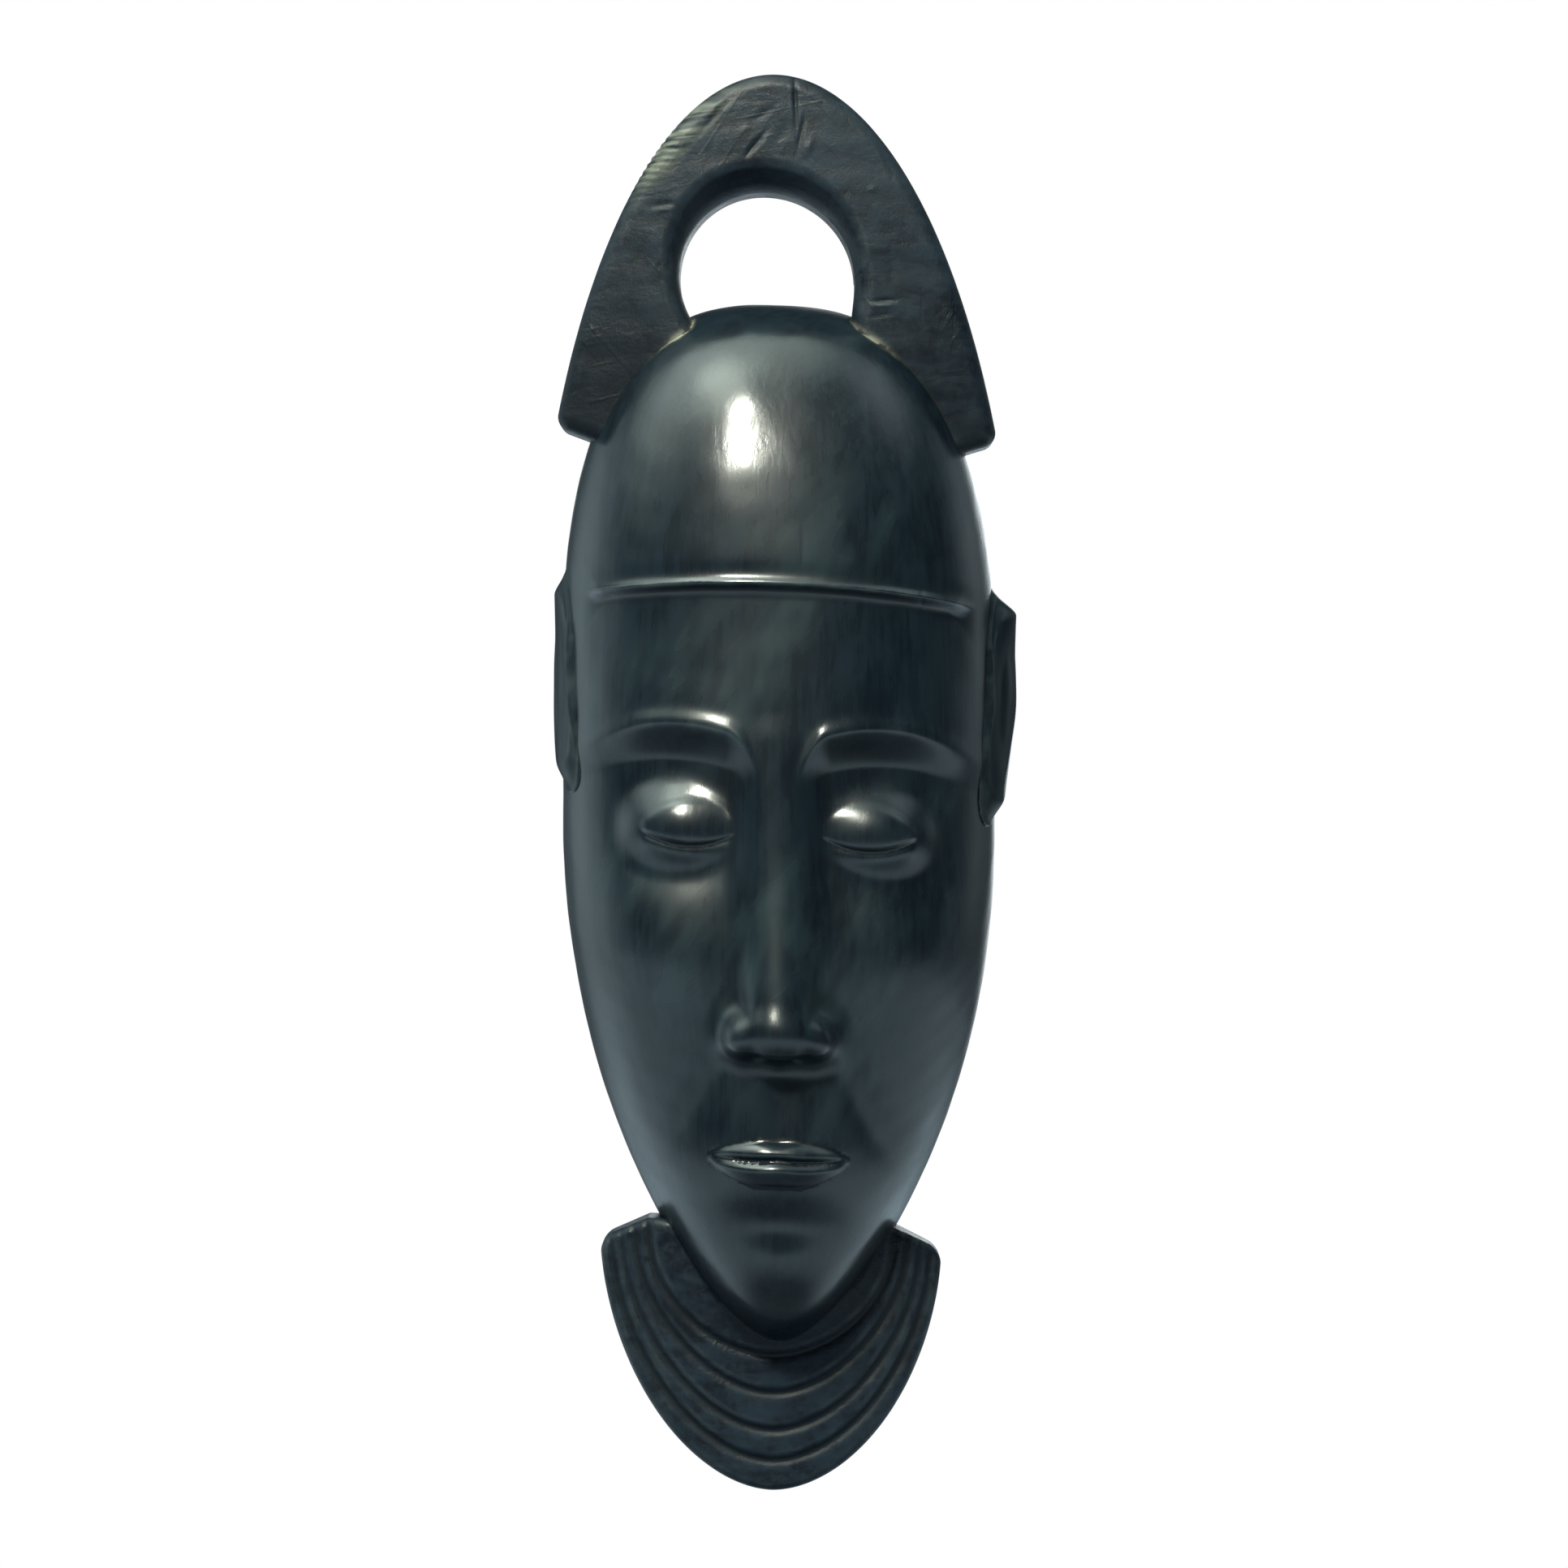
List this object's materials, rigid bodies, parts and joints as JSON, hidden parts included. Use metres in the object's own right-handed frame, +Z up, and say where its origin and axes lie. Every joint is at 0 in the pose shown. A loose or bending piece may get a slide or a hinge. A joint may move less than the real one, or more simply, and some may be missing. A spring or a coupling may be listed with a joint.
{
  "type": "carved wooden wall mask",
  "caption": "Long oval wall mask carved in dark polished hardwood, with a loop crest to hang it by, a ridged beard, low ears and a hollow back.",
  "frame": {"origin": "level with the crown of the crest's opening, where a nail bears, in the flat back plane", "axes": "+Z up along the mask, +X to the viewer's right, +Y into the wall, so the face looks along -Y"},
  "size_m": [0.1171, 0.0661, 0.3599],
  "materials": {
    "polished_wood": "polished",
    "rasped_wood": "satin, with rasp marks"
  },
  "bodies": {
    "root": {"head": "polished_wood", "crest_loop": "rasped_wood", "beard_plate": "rasped_wood", "ear_left": "polished_wood", "ear_right": "polished_wood"}
  },
  "joints": []
}
